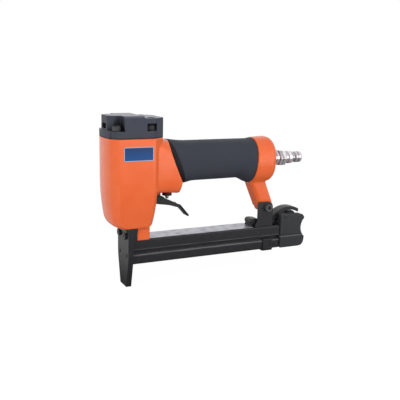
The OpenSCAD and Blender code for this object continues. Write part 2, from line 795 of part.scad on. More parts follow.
// Air plug: thread, collar, hexagon, ring, groove and nose on one axis
module air_plug() {
    r = plug_d / 2;
    x0 = dome_end;
    color(steel) translate([0, 0, handle_z]) difference() {
        union() {
            rod_x(6.5, x0 - 8, x0 + 1);
            rod_x(7.2, x0, x0 + 8);
            translate([x0 + 7.6, 0, 0]) rotate([0, 90, 0]) rotate([0, 0, 30])
                cylinder(d = hex_af / cos(30), h = 8.2, $fn = 6);
            translate([x0 + 15.8, 0, 0]) rotate([0, 90, 0]) rotate_extrude() polygon([
                [0, -1], [r - 0.4, -1], [r - 0.4, 3.6], [r + 0.7, 4.4], [r + 0.7, 8.6], [r - 0.2, 9.4],
                [r - 1.3, 10.2], [r - 1.3, 12], [r, 13.2], [r, 19.6], [r - 1, 20.6], [0, 20.6]
            ]);
        }
        rod_x(plug_bore / 2, x0 - 10, x0 + 40);
    }
}

module valve_sleeve() {
    r = valve_d / 2;
    color(brass) translate([valve_x, 0, 0]) difference() {
        union() {
            translate([0, 0, boss_z - 4.4]) cylinder(r = r - 1.2, h = 5);
            translate([0, 0, boss_z]) cylinder(r = r, h = valve_top - boss_z);
        }
        translate([0, 0, boss_z - 6]) cylinder(d = stem_d + 2 * run, h = 12);
        translate([0, 0, boss_z + 4]) cylinder(r = r - 1.8, h = valve_top - boss_z - 5.4);
        translate([0, 0, valve_top - 3]) cylinder(r = 1.4, h = 5);
        for (z = [5, 15])
            translate([0, 0, boss_z + z]) rotate_extrude() translate([r - 0.9, -0.7]) square([3, 1.4]);
    }
}

module valve_seals() {
    color(black) for (z = [5, 15])
        translate([valve_x, 0, boss_z + z]) seal(valve_d / 2 - 0.38, 0.46);
}

module valve_stem() {
    color(steel) translate([valve_x, 0, 0]) union() {
        translate([0, 0, stem_tip + stem_d / 2]) sphere(d = stem_d);
        translate([0, 0, stem_tip + stem_d / 2]) cylinder(d = stem_d, h = boss_z + 6 - stem_tip);
        translate([0, 0, boss_z + 4.4]) cylinder(r = valve_d / 2 - 1.8 - run, h = 3);
    }
}

module valve_spring() {
    color(steel) translate([valve_x, 0, boss_z + 7.6])
        coil(valve_d / 2 - 3, 0.35, valve_top - boss_z - 7.6 - 1.5, 6);
}

// Trigger: two cheeks on the pin, a sloping web under the valve stem and a bent tail for the finger
function web_z(x) = pivot_z - 2.3 - (x - valve_x) * 0.47;
module trigger() {
    web_x0 = pivot_x + 8;
    bend_x = valve_x + 11.6;
    tip = [bend_x + 10, web_z(bend_x) - 12.4];
    t = trigger_t;
    color(black) difference() {
        union() {
            for (s = [-1, 1])
                translate([0, s * (trigger_w - t) / 2, 0]) across(t) union() {
                    translate([pivot_x, pivot_z]) circle(4);
                    polygon(soft_outline([
                        [pivot_x - 2, pivot_z - 5, 1.5],
                        [pivot_x - 2.4, pivot_z + 3, 1],
                        [pivot_x + 4, pivot_z + 3, 2],
                        [web_x0, web_z(web_x0), 0],
                        [bend_x, web_z(bend_x), 0],
                        [bend_x - 1.6, web_z(bend_x) - 2.6, 1],
                        [pivot_x + 12, pivot_z - 7.2, 2]
                    ]));
                }
            across(trigger_w - t) polygon([
                [web_x0, web_z(web_x0)],
                [bend_x, web_z(bend_x)],
                [bend_x - 0.9, web_z(bend_x) - t],
                [web_x0, web_z(web_x0) - t]
            ]);
            across(trigger_w - 3) polygon(soft_outline([
                [bend_x - 3, web_z(bend_x - 3), 0],
                [bend_x + 1.2, web_z(bend_x) - 0.5, 2],
                [tip[0] + 0.6, tip[1] + 0.9, 0.8],
                [tip[0] - 0.9, tip[1] - 0.4, 0.8],
                [bend_x, web_z(bend_x) - 2.3, 2],
                [bend_x - 3, web_z(bend_x - 3) - t, 0]
            ]));
        }
        translate([pivot_x, 0, pivot_z]) rod_y(trigger_pin_d / 2 + pin_gap, -big, big);
    }
}

module trigger_pin() {
    color(steel) translate([pivot_x, 0, pivot_z])
        rod_y(trigger_pin_d / 2, -trigger_w / 2 - 0.4, trigger_w / 2 + 0.4);
}

// Front view of the nose: straight down to the taper, then drawn in to the tip
module nose_outline(top) {
    polygon(soft_outline([
        [-tip_w / 2, 0, 0.8],
        [tip_w / 2, 0, 0.8],
        [nose_w / 2, taper_h, 4],
        [nose_w / 2, top, 0],
        [-nose_w / 2, top, 0],
        [-nose_w / 2, taper_h, 4]
    ]));
}

module driver_guide() {
    color(black) difference() {
        union() {
            along(split_x, guide_x) nose_outline(mag_top + 2);
            translate([split_x, -nose_w / 2, mag_top + seat]) cube([guide_l, nose_w, neck_h - seat]);
            translate([flange_x, -nose_w / 2, body_z - flange_h]) cube([block_x - flange_x, nose_w, flange_h]);
        }
        // driver channel
        translate([-slot_t / 2 - 0.001, -slot_w / 2, -1]) cube([slot_t, slot_w, body_z + 2]);
        // staples enter from the magazine
        translate([split_x + 0.1, -passage_w / 2, mag_z + 1.5])
            cube([guide_t + 1, passage_w, mag_top - sheet_t - mag_z - 1.5]);
        // relieved rear corners of the block
        for (s = [-1, 1])
            translate([block_x - 3.4, s * (nose_w / 2) - 1.2, mag_top - 1]) cube([5, 2.4, neck_h - flange_h + 1]);
        for (s = [-1, 1]) {
            translate([0, s * nose_bolt_gap / 2, nose_bolt_z]) rod_x(nose_bolt_d / 2 + seat, nose_x, block_x + 1);
            translate([0, s * rivet_y, taper_h + 3]) rod_x(1.5 + pin_gap, split_x - 1, guide_x + 1);
        }
    }
}

module nose_plate() {
    color(black) difference() {
        along(nose_x, split_x) nose_outline(body_z - flange_h - 0.05);
        for (s = [-1, 1]) {
            translate([0, s * nose_bolt_gap / 2, nose_bolt_z]) rod_x(nose_bolt_d / 2 + seat, nose_x - 1, split_x + 1);
            translate([0, s * rivet_y, taper_h + 3]) rod_x(1.5 + pin_gap, nose_x - 1, split_x + 1);
        }
    }
}

module nose_bolts() {
    head_h = 2.2;
    color(black) for (s = [-1, 1])
        translate([nose_x, s * nose_bolt_gap / 2, nose_bolt_z])
            rotate([0, -90, 0])
                socket_bolt(nose_bolt_d, nose_bolt_d * 1.7, head_h, block_x - nose_x + 10, nose_bolt_d * 0.7);
}

// Rivets that tie the two nose plates together
module nose_rivets() {
    color(black) for (s = [-1, 1])
        translate([0, s * rivet_y, taper_h + 3]) {
            rod_x(1.5, nose_x, guide_x);
            translate([nose_x - 0.8, 0, 0]) rotate([0, 90, 0]) cylinder(r1 = 1.5, r2 = 2.2, h = 0.8);
        }
}

// Section of the fixed channel: a web, two outer skirts and two inner rails with a ledge
module channel_section() {
    hw = mag_w / 2;
    difference() {
        polygon(soft_outline([
            [-hw, mag_top - skirt_h, 0.5],
            [hw, mag_top - skirt_h, 0.5],
            [hw, mag_top, 1.4],
            [-hw, mag_top, 1.4]
        ]));
        translate([-hw + sheet_t, mag_top - skirt_h - 1]) square([mag_w - 2 * sheet_t, skirt_h + 1 - sheet_t]);
    }
    for (s = [-1, 1]) {
        translate([s * (rail_in + rail_out) / 2 - sheet_t / 2, mag_z + tray_t + 0.4])
            square([sheet_t, mag_h - tray_t - 0.4 - sheet_t / 2]);
        translate([s > 0 ? rail_out - 0.2 : -rail_out - 1, lip_z - tray_t - run - 1.3]) square([1.2, 1.3]);
    }
}
module magazine_channel() {
    color(black) difference() {
        along(mag_x, mag_end) channel_section();
        // catch slot for the latch tooth
        translate([tooth_x - 0.8, -latch_w / 2 - 0.5, mag_top - 5]) cube([4.2, latch_w + 1, 10]);
        for (x = rivet_places)
            translate([x, 0, mag_top - 4]) cylinder(r = 1.6 + pin_gap, h = 8);
    }
}

// Bare metal strip on the magazine between tongue and bracket
module top_strip() {
    x0 = block_x + tongue_l + 0.2;
    hw = mag_w / 2 - 1;
    color([0.7, 0.71, 0.74]) translate([0, 0, mag_top]) linear_extrude(0.4)
        polygon(soft_outline([
            [x0, -hw, 0],
            [toe_x - 0.3, -hw, 0],
            [toe_x - 0.3, hw, 0],
            [x0, hw, 0]
        ]));
}

// Section of the pull-out tray: a trough with turned-in lips and the hollow core in its middle
module tray_outside() {
    hw = tray_w / 2;
    polygon(soft_outline([
        [-hw, mag_z, 2],
        [hw, mag_z, 2],
        [hw, lip_z, 1.2],
        [-hw, lip_z, 1.2]
    ]));
}
module core_outside(grow) {
    translate([-core_w / 2 - grow, mag_z]) square([core_w + 2 * grow, core_top + grow - mag_z]);
}
module magazine_tray() {
    inner = tray_w / 2 - tray_t;
    x0 = mag_x + 0.5;
    color(black) difference() {
        union() {
            along(x0, mag_end) difference() {
                tray_outside();
                translate([-inner, mag_z + tray_t]) square([2 * inner, lip_z - mag_z - 2 * tray_t]);
                translate([-rail_out - run, mag_z + tray_t]) square([2 * (rail_out + run), mag_h]);
            }
            along(x0, core_end) difference() {
                core_outside(0);
                translate([-core_w / 2 + core_t, mag_z + tray_t])
                    square([core_w - 2 * core_t, core_top - core_t - mag_z - tray_t]);
                translate([-1.6, core_top - core_t - 1]) square([3.2, 4]);
            }
            // end wall that holds the front of the rod
            along(x0, x0 + 1.4) core_outside(0);
        }
        translate([0, 0, rod_z]) rod_x(rod_r + pin_gap, x0 - 1, x0 + 3);
    }
}

// Clip round the tray that it is pulled and set down by
module foot_clip() {
    hw = tray_w / 2;
    t = 1.5;
    color(black) difference() {
        along(foot_x, foot_x + foot_l) difference() {
            polygon(soft_outline([
                [-hw - t, mag_z - t - 0.2, 2.6],
                [hw + t, mag_z - t - 0.2, 2.6],
                [hw + t, lip_z + 1.4, 0.8],
                [-hw - t, lip_z + 1.4, 0.8]
            ]));
            tray_outside();
            translate([-hw + 1.2, lip_z - 2]) square([tray_w - 2.4, 10]);
        }
        for (s = [-1, 1], x = [0.3, 0.65])
            translate([foot_x + foot_l * x, s * (hw + t) - 0.4, mag_z + 1.5]) cube([1.2, 0.8, tray_h - 2]);
    }
}

// Pusher: a saddle on the core with a shoe inside it that runs on the rod
module pusher() {
    l = 14;
    x0 = mag_x + 2.4;
    color(steel) difference() {
        union() {
            along(x0, x0 + l) difference() {
                translate([-rail_in + run, mag_z + tray_t + 4.6])
                    square([2 * (rail_in - run), core_top + run + 0.8 - mag_z - tray_t - 4.6]);
                translate([-core_w / 2 - run, 0]) square([core_w + 2 * run, core_top + run]);
            }
            translate([x0 + 3, -1.3, rod_z]) cube([l - 3, 2.6, core_top + run + 0.4 - rod_z]);
            translate([x0 + 3, -core_w / 2 + core_t + run, rod_z - 3.4])
                cube([l - 3, core_w - 2 * core_t - 2 * run, 6.8]);
        }
        translate([0, 0, rod_z]) rod_x(rod_r + 0.08, x0, x0 + l + 1);
    }
}

module pusher_rod() {
    color(steel) translate([0, 0, rod_z]) rod_x(rod_r, mag_x + 0.5, core_end + 4);
}

module pusher_spring() {
    x0 = mag_x + 2.4 + 14 + 0.1;
    color(steel) translate([x0, 0, rod_z]) rotate([0, 90, 0])
        coil(2.7, 0.45, core_end - x0 - 0.05, 22);
}

// Tail block: pulls the tray out; its rear is hollowed for the fingers
module tail_block() {
    x1 = tail_x + tail_l;
    waist_z = mag_top - 5.5;
    top = mag_top + tail_rise;
    color(grey) difference() {
        across(tail_w) difference() {
            polygon(soft_outline([
                [tail_x, mag_z, 1],
                [x1 - 1, mag_z, 6],
                [x1 + 0.4, mag_z + 9, 3],
                [x1 - 0.6, mag_top + 7.4, 0],
                [x1 - 2.6, top - 1.8, 2.4],
                [tail_x, top, 1]
            ]));
            translate([x1 + 9.2, waist_z + 1.5]) circle(13.6);
        }
        // seam line over the tray
        for (s = [-1, 1])
            translate([tail_x - 1, s * tail_w / 2 - 0.5, lip_z + 2.6]) cube([tail_l - 3, 1, 1]);
        // pocket for the tray core
        along(tail_x - 1, core_end + 0.1) translate([0, -1]) union() {
            translate([0, 1]) core_outside(seat);
            translate([-core_w / 2 - seat, mag_z - 1]) square([core_w + 2 * seat, 5]);
        }
        translate([0, 0, rod_z]) rod_x(rod_r + pin_gap, core_end, core_end + 4.2);
        // slot for the latch lever
        translate([tail_x - 6, -latch_w / 2 - run, tail_floor]) cube([tail_l + 20, latch_w + 2 * run, 40]);
        translate([latch_x, 0, latch_z]) rod_y(latch_pin_d / 2 + pin_gap, -big, big);
    }
}

// Latch lever: an arch over the tail, a boss on the pin and an arm with the tooth
module latch_lever() {
    tail_end = tail_x + tail_l - 3.4;
    color(black) difference() {
        across(latch_w) union() {
            translate([arch_x, arch_z]) intersection() {
                difference() {
                    circle(arch_r, $fn = 180);
                    translate([1.6, 0.4]) circle(arch_in, $fn = 180);
                }
                translate([tooth_x - arch_x, mag_top + 4 - arch_z]) square([tail_end - tooth_x, 60]);
            }
            translate([latch_x, latch_z]) circle(3.7);
            translate([latch_x - 2.6, latch_z])
                square([5.2, lever_under(latch_x) + 1 - latch_z]);
            polygon(soft_outline([
                [tooth_x, mag_top + run, 0],
                [tooth_x + 2.4, mag_top + run, 0.4],
                [tooth_x + 3, mag_top + 7, 1],
                [latch_x, latch_z + 1, 0],
                [latch_x, latch_z + 5, 0],
                [tooth_x, lever_over(tooth_x), 0]
            ]));
        }
        translate([latch_x, 0, latch_z]) rod_y(latch_pin_d / 2 + pin_gap, -big, big);
    }
}

module latch_pin() {
    color(steel) translate([latch_x, 0, latch_z]) rod_y(latch_pin_d / 2, -tail_w / 2 - 0.2, tail_w / 2 + 0.2);
}

module latch_spring() {
    x = arch_x + 2;
    color(steel) translate([x, 0, tail_floor + 0.05])
        coil(2.4, 0.4, lever_under(x + 2.9) - tail_floor - 0.15, 6);
}

// Bracket: a base on the magazine with a tall wall on the near side and a pinned toe in front
module wall_outline() {
    x0 = bracket_x0;
    foot = 2.4;
    polygon(soft_outline([
        [x0 - foot, mag_top, 0],
        [x0 - foot, mag_top + 2.4, 1],
        [x0, mag_top + 6.4, 1.6],
        [x0, bolt_z + 6.2, 2.5],
        [bracket_x1, bolt_z + 6.2, 7],
        [bracket_x1, mag_top, 0]
    ]));
}
module rear_bracket() {
    t = bracket_t;
    color(black) difference() {
        union() {
            translate([0, -(bracket_w - t) / 2, 0]) across(t) wall_outline();
            translate([0, 0, mag_top]) linear_extrude(t) polygon(soft_outline([
                [toe_x, -toe_w / 2 - 1, 1],
                [bracket_x0 - 2.4, -toe_w / 2 - 1, 0],
                [bracket_x0 - 2.4, -bracket_w / 2, 0],
                [bracket_x1, -bracket_w / 2, 0],
                [bracket_x1, base_far, 2],
                [toe_x, base_far, 1]
            ]));
            across(toe_w) union() {
                translate([toe_pin_x, toe_pin_z]) circle(toe_r);
                translate([toe_pin_x - 1.8, mag_top]) square([3.6, toe_pin_z - mag_top]);
                translate([toe_pin_x, mag_top]) square([bracket_x0 + 0.4 - toe_pin_x, toe_pin_z + toe_r - mag_top]);
            }
        }
        translate([bolt_x, 0, bolt_z]) rod_y(bracket_bolt_d / 2 + pin_gap, -big, big);
        translate([toe_pin_x, 0, toe_pin_z]) rod_y(toe_pin_r + pin_gap, -big, big);
        for (x = rivet_places)
            translate([x, 0, mag_top - 1]) cylinder(r = 1.6 + pin_gap, h = t + 2);
    }
}

module bracket_bolt() {
    color(black) translate([bolt_x, -bracket_w / 2, bolt_z]) rotate([90, 0, 0])
        socket_bolt(bracket_bolt_d, bracket_bolt_d * 1.6, 3.6, bracket_t + 15, bracket_bolt_d * 0.85);
}

module bracket_rivets() {
    color(black) for (x = rivet_places)
        translate([x, 0, mag_top - sheet_t]) {
            cylinder(r = 1.6, h = sheet_t + bracket_t);
            translate([0, 0, sheet_t + bracket_t]) cylinder(r1 = 2.6, r2 = 1.8, h = 1);
        }
}

module toe_screw() {
    color(black) translate([toe_pin_x, -toe_w / 2, toe_pin_z]) rotate([90, 0, 0])
        socket_bolt(2 * toe_pin_r, toe_head_d, 1.2, toe_w + 0.5, 2);
}

housing();
grip_sleeve();
side_plate();
cylinder_cap();
cap_gasket();
cap_bolts();
cylinder_sleeve();
sleeve_seal();
bumper();
piston();
piston_ring();
driver_blade();
wrist_pin();
head_valve();
head_valve_ring();
head_valve_spring();
air_plug();
valve_sleeve();
valve_seals();
valve_stem();
valve_spring();
trigger();
trigger_pin();
driver_guide();
nose_plate();
nose_bolts();
nose_rivets();
magazine_channel();
top_strip();
magazine_tray();
foot_clip();
pusher();
pusher_rod();
pusher_spring();
tail_block();
latch_lever();
latch_pin();
latch_spring();
rear_bracket();
bracket_bolt();
bracket_rivets();
toe_screw();
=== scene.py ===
import json
import math

import bmesh
import bpy
from mathutils import Matrix, Vector

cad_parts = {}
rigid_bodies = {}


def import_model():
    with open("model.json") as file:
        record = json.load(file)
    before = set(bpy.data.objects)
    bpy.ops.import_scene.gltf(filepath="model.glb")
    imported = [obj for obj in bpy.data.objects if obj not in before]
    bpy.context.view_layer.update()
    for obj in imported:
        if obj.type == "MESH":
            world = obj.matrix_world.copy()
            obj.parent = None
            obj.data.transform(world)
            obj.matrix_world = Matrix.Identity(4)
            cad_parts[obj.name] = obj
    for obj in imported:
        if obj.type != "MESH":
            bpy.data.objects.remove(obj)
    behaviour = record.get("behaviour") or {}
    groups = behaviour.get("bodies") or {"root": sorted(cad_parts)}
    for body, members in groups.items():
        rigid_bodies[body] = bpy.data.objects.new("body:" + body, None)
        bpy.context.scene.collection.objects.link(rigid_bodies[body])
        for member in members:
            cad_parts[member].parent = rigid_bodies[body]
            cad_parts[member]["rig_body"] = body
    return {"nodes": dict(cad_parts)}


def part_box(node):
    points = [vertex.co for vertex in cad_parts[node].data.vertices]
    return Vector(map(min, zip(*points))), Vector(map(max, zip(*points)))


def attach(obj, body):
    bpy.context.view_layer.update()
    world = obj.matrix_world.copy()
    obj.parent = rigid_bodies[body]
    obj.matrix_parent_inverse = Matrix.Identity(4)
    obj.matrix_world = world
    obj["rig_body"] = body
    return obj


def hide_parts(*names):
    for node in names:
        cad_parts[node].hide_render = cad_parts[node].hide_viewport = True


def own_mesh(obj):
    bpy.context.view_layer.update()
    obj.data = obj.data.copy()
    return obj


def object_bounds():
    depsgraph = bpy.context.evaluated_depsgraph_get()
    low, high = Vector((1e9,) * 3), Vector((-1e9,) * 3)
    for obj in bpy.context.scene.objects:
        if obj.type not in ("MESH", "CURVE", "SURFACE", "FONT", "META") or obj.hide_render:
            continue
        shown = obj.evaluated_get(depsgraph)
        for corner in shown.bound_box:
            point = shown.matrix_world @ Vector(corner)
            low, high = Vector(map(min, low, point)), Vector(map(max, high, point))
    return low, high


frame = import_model()
cad_low, cad_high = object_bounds()


# Housing: one light alloy casting of cylinder block, neck, handle bar, rear leg and front tongue.
# The mould leaves soft edges and hollow corners, and the outside is sprayed with glossy orange enamel.

MM = 0.001
nodes = frame["nodes"]


class Value:
    """A socket in a material; arithmetic on it adds Math nodes."""

    def __init__(self, finish, socket):
        self.finish = finish
        self.socket = socket

    def math(self, operation, a, b):
        return self.finish.node("ShaderNodeMath", {"operation": operation}, {0: a, 1: b})

    def __add__(self, other):
        return self.math("ADD", self, other)

    def __sub__(self, other):
        return self.math("SUBTRACT", self, other)

    def __rsub__(self, other):
        return self.math("SUBTRACT", other, self)

    def __mul__(self, other):
        return self.math("MULTIPLY", self, other)

    def __abs__(self):
        return self.math("ABSOLUTE", self, 0)

    def most(self, other):
        return self.math("MAXIMUM", self, other)

    def least(self, other):
        return self.math("MINIMUM", self, other)

    __radd__ = __add__
    __rmul__ = __mul__


class Finish:
    """A material on a Principled shader, read in the object's own coordinates."""

    def __init__(self, name, **constants):
        self.material = bpy.data.materials.new(name)
        self.material.use_nodes = True
        self.tree = self.material.node_tree
        self.shader = self.tree.nodes["Principled BSDF"]
        self.place = self.node("ShaderNodeTexCoord", output="Object")
        self.set(**constants)

    def node(self, kind, settings=None, inputs=None, output=0):
        made = self.tree.nodes.new(kind)
        for key, value in (settings or {}).items():
            setattr(made, key, value)
        for key, value in (inputs or {}).items():
            self.put(made.inputs[key], value)
        return Value(self, made.outputs[output])

    def put(self, socket, value):
        if isinstance(value, Value):
            self.tree.links.new(value.socket, socket)
        else:
            socket.default_value = value

    def set(self, **inputs):
        for key, value in inputs.items():
            self.put(self.shader.inputs[key.replace("_", " ")], value)

    def axes(self, place=None):
        """The X, Y and Z of a place or direction, of the point itself if none is given."""
        parts = self.node("ShaderNodeSeparateXYZ", {}, {0: place or self.place})
        return [Value(self, socket) for socket in parts.socket.node.outputs]

    def occlusion(self, reach):
        """1 on open faces, less in corners and hollows within reach."""
        return self.node("ShaderNodeAmbientOcclusion", {"samples": 8}, {"Distance": reach}, output="AO")

    def stretched(self, x, y, z):
        """The point's place with each axis scaled, so that a pattern is drawn out where it is below 1."""
        return self.node("ShaderNodeMapping", {}, {"Vector": self.place, "Scale": (x, y, z)})

    def noise(self, size, detail=2, place=None):
        """Cloudy spots of about this size, from 0 to 1 and mostly from 0.3 to 0.7."""
        return self.node("ShaderNodeTexNoise", {}, {
            "Vector": place or self.place, "Scale": 1 / size, "Detail": detail})

    def span(self, value, low, high, start=0.0, end=1.0):
        """Runs from start to end as the value goes from low to high."""
        return self.node("ShaderNodeMapRange", {"clamp": True}, {
            "Value": value, "From Min": low, "From Max": high, "To Min": start, "To Max": end})

    def mix(self, share, first, second):
        """The first colour where share is 0, the second where it is 1."""
        # Sockets 6 and 7 and output 2 are the node's colour ones
        return self.node("ShaderNodeMix", {"data_type": "RGBA"}, {0: share, 6: first, 7: second}, output=2)

    def relief(self, height, depth):
        """A fine roughness to the touch, as deep as depth where the height goes from 0 to 1."""
        bump = self.node("ShaderNodeBump", {}, {"Height": height, "Distance": depth, "Strength": 1.0})
        self.set(Normal=bump)

    def edge_wear_or_painted_highlight(self, radius):
        """About 1 on edges within the radius, 0 on open faces: worn edges on most pieces, a painted
        highlight on the latch lever.
        """
        round_normal = self.node("ShaderNodeBevel", {"samples": 4}, {"Radius": radius})
        flat_normal = self.node("ShaderNodeNewGeometry", output="Normal")
        turn = self.node("ShaderNodeVectorMath", {"operation": "DOT_PRODUCT"},
                         {0: round_normal, 1: flat_normal}, output="Value")
        return self.span(turn, 0.985, 0.86)


def rgb(red, green, blue):
    """A colour as it is seen, 0 to 255, turned into the shader's linear light."""
    seen = (c / 255 for c in (red, green, blue))
    return (*(c / 12.92 if c <= 0.04045 else ((c + 0.055) / 1.055) ** 2.4 for c in seen), 1.0)


def copy_of(node, name):
    """The node's solid as a new piece with its loose triangles merged into flat faces."""
    piece = bpy.data.objects.new(name, nodes[node].data.copy())
    bpy.context.scene.collection.objects.link(piece)
    shape = bmesh.new()
    shape.from_mesh(piece.data)
    bmesh.ops.remove_doubles(shape, verts=shape.verts, dist=0.001 * MM)
    bmesh.ops.dissolve_limit(shape, angle_limit=math.radians(0.5), verts=shape.verts, edges=shape.edges)
    shape.to_mesh(piece.data)
    shape.free()
    return piece


def settled(piece):
    """The piece with its modifiers taken into its mesh."""
    bpy.context.view_layer.update()
    seen = piece.evaluated_get(bpy.context.evaluated_depsgraph_get())
    piece.data = bpy.data.meshes.new_from_object(seen)
    piece.modifiers.clear()
    return piece


def shaded(piece, angle=35):
    piece.data.shade_smooth()
    piece.data.set_sharp_from_angle(angle=math.radians(angle))
    return piece


def moulded(node, name, grain, passes, kept):
    """A cast or moulded piece: the solid rebuilt in one skin, its edges and corners run soft."""
    piece = copy_of(node, name)
    skin = piece.modifiers.new("skin", "REMESH")
    skin.mode = "VOXEL"
    skin.voxel_size = grain
    soft = piece.modifiers.new("soft", "SMOOTH")
    soft.factor = 0.5
    soft.iterations = passes
    thin = piece.modifiers.new("thin", "DECIMATE")
    thin.ratio = kept
    settled(piece)
    return shaded(piece, 60)


def dress(piece, finish, node):
    """Gives a piece its finish and puts it in the place of the solid that it stands for."""
    piece.data.materials.clear()
    piece.data.materials.append(finish.material)
    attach(piece, nodes[node]["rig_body"])
    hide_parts(node)


enamel = Finish("orange_enamel", IOR=1.3, Coat_Roughness=0.16, Coat_IOR=1.45)
depth = enamel.noise(18 * MM, 3)
peel = enamel.noise(1.1 * MM, 1)
enamel.set(
    Base_Color=enamel.mix(enamel.span(depth, 0.3, 0.7), rgb(229, 99, 45), rgb(233, 106, 54)),
    Roughness=enamel.span(enamel.noise(6 * MM, 4), 0.3, 0.7, 0.34, 0.44),
    Coat_Weight=enamel.span(depth, 0.2, 0.8, 0.45, 0.55),
)
enamel.relief(peel, 0.012 * MM)

casting = moulded("housing", "housing_casting", grain=0.6 * MM, passes=6, kept=0.4)
dress(casting, enamel, "housing")


# Cylinder: a machined alloy sleeve with a round seal stands in the block on a thick rubber bumper.
# The bumper stops the piston at the end of its stroke.

alloy = Finish("machined_alloy", Metallic=1.0)
turning = alloy.noise(0.5 * MM, 2, alloy.stretched(0.05, 0.05, 1))
alloy.set(
    Base_Color=alloy.mix(turning, rgb(196, 198, 202), rgb(222, 223, 226)),
    Roughness=alloy.span(turning, 0.3, 0.7, 0.22, 0.4),
)
alloy.relief(turning, 0.01 * MM)

seal_rubber = Finish("seal_rubber", IOR=1.48)
bloom = seal_rubber.noise(2 * MM, 4)
seal_rubber.set(
    Base_Color=seal_rubber.mix(bloom, rgb(26, 26, 27), rgb(40, 40, 42)),
    Roughness=seal_rubber.span(bloom, 0.3, 0.7, 0.5, 0.75),
)
seal_rubber.relief(seal_rubber.noise(0.3 * MM, 2), 0.01 * MM)


def rounded(node, name, radius, steps):
    """A machined or pressed piece: the solid with its edges broken to a small radius."""
    piece = copy_of(node, name)
    shape = bmesh.new()
    shape.from_mesh(piece.data)
    least_angle = math.radians(28)
    sharp = [edge for edge in shape.edges
             if len(edge.link_faces) == 2 and edge.calc_face_angle() > least_angle]
    bmesh.ops.bevel(shape, geom=sharp, offset=radius, offset_type="OFFSET", segments=steps, profile=0.5,
                    affect="EDGES", clamp_overlap=False, loop_slide=True)
    bmesh.ops.remove_doubles(shape, verts=shape.verts, dist=0.002 * MM)
    shape.to_mesh(piece.data)
    shape.free()
    shaded(piece)
    even = piece.modifiers.new("even", "WEIGHTED_NORMAL")
    even.keep_sharp = True
    return settled(piece)


def machined(node, name, radius, finish, steps=2):
    """A rounded piece in its finish, in the place of its solid."""
    dress(rounded(node, name, radius, steps), finish, node)


machined("cylinder_sleeve", "cylinder_tube", 0.3 * MM, alloy)
machined("sleeve_seal", "sleeve_o_ring", 0.1 * MM, seal_rubber)
machined("bumper", "piston_bumper", 0.6 * MM, seal_rubber)


# Driver: the piston carries a flat hardened blade on a cross pin and seals with one round ring.
# The blade runs down the nose and drives the staple.

bright_steel = Finish("bright_steel", Metallic=1.0)
drawn = bright_steel.noise(0.4 * MM, 3)
bright_steel.set(
    Base_Color=bright_steel.mix(drawn, rgb(168, 168, 170), rgb(205, 205, 206)),
    Roughness=bright_steel.span(drawn, 0.3, 0.7, 0.2, 0.34),
)
bright_steel.relief(drawn, 0.004 * MM)

machined("piston", "piston_head", 0.3 * MM, alloy)
machined("piston_ring", "piston_o_ring", 0.1 * MM, seal_rubber)
machined("driver_blade", "driver_strip", 0.1 * MM, bright_steel)
machined("wrist_pin", "wrist_pin_rod", 0.15 * MM, bright_steel)


# Springs: round drawn wire wound into coils for the head valve, the trigger valve and the pusher.
# Each sits between two seats and gives way as the piece on it moves.

def add(tree, kind, links, **settings):
    """A node in a tree, with values or other nodes' outputs put on its inputs."""
    made = tree.nodes.new(kind)
    for key, value in settings.items():
        setattr(made, key, value)
    for key, value in links.items():
        if isinstance(value, bpy.types.NodeSocket):
            tree.links.new(value, made.inputs[key])
        else:
            made.inputs[key].default_value = value
    return made


def begun(name, **inputs):
    """A new tree with named inputs of the given kinds, the inputs' ids, and their values in the tree."""
    tree = bpy.data.node_groups.new(name, "GeometryNodeTree")
    ids = {
        label: tree.interface.new_socket(label, in_out="INPUT", socket_type="NodeSocket" + kind).identifier
        for label, kind in inputs.items()
    }
    tree.interface.new_socket("Form", in_out="OUTPUT", socket_type="NodeSocketGeometry")
    return tree, ids, add(tree, "NodeGroupInput", {}).outputs


def ended(tree, form, material):
    """Sends a form out of the tree as one plain mesh of one material."""
    whole = add(tree, "GeometryNodeRealizeInstances", {"Geometry": form.outputs[0]})
    coated = add(tree, "GeometryNodeSetMaterial", {"Geometry": whole.outputs[0], "Material": material})
    add(tree, "NodeGroupOutput", {0: coated.outputs[0]})


def grown(name, tree, ids, **values):
    """The plain mesh that a tree gives for these values."""
    piece = bpy.data.objects.new(name, bpy.data.meshes.new(name))
    bpy.context.scene.collection.objects.link(piece)
    maker = piece.modifiers.new("maker", "NODES")
    maker.node_group = tree
    for label, value in values.items():
        maker[ids[label]] = value
    return settled(piece)


coil_tree, coil_ids, given = begun(
    "wound_wire", Turns="Float", Radius="Float", Wire="Float", Length="Float", Place="Vector",
    Turn="Vector", Steel="Material")
spiral = add(coil_tree, "GeometryNodeCurveSpiral", {
    "Resolution": 28, "Rotations": given["Turns"], "Start Radius": given["Radius"],
    "End Radius": given["Radius"], "Height": given["Length"]})
section = add(coil_tree, "GeometryNodeCurvePrimitiveCircle", {"Resolution": 10, "Radius": given["Wire"]})
wire = add(coil_tree, "GeometryNodeCurveToMesh", {
    "Curve": spiral.outputs[0], "Profile Curve": section.outputs[0], "Fill Caps": True})
smooth = add(coil_tree, "GeometryNodeSetShadeSmooth", {"Geometry": wire.outputs[0], "Shade Smooth": True})
placed = add(coil_tree, "GeometryNodeTransform", {
    "Geometry": smooth.outputs[0], "Translation": given["Place"], "Rotation": given["Turn"]})
ended(coil_tree, placed, given["Steel"])


X_AXIS = 0
Z_AXIS = 2


def spring(node, name, finish, turns, wire, along):
    """A coil that fills the node's box along one axis, wound from its low end."""
    low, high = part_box(node)
    axis = Vector([float(i == along) for i in range(3)])
    centre = (low + high) / 2
    across = (along + 1) % 3
    base = centre + axis * (low[along] + wire - centre[along])
    piece = grown(
        name, coil_tree, coil_ids, Turns=float(turns), Radius=(high - low)[across] / 2 - wire,
        Wire=wire, Length=(high - low)[along] - 2 * wire, Place=base,
        Turn=Vector((0, math.pi / 2 if along == X_AXIS else 0, 0)), Steel=finish.material)
    dress(piece, finish, node)
    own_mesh(piece)


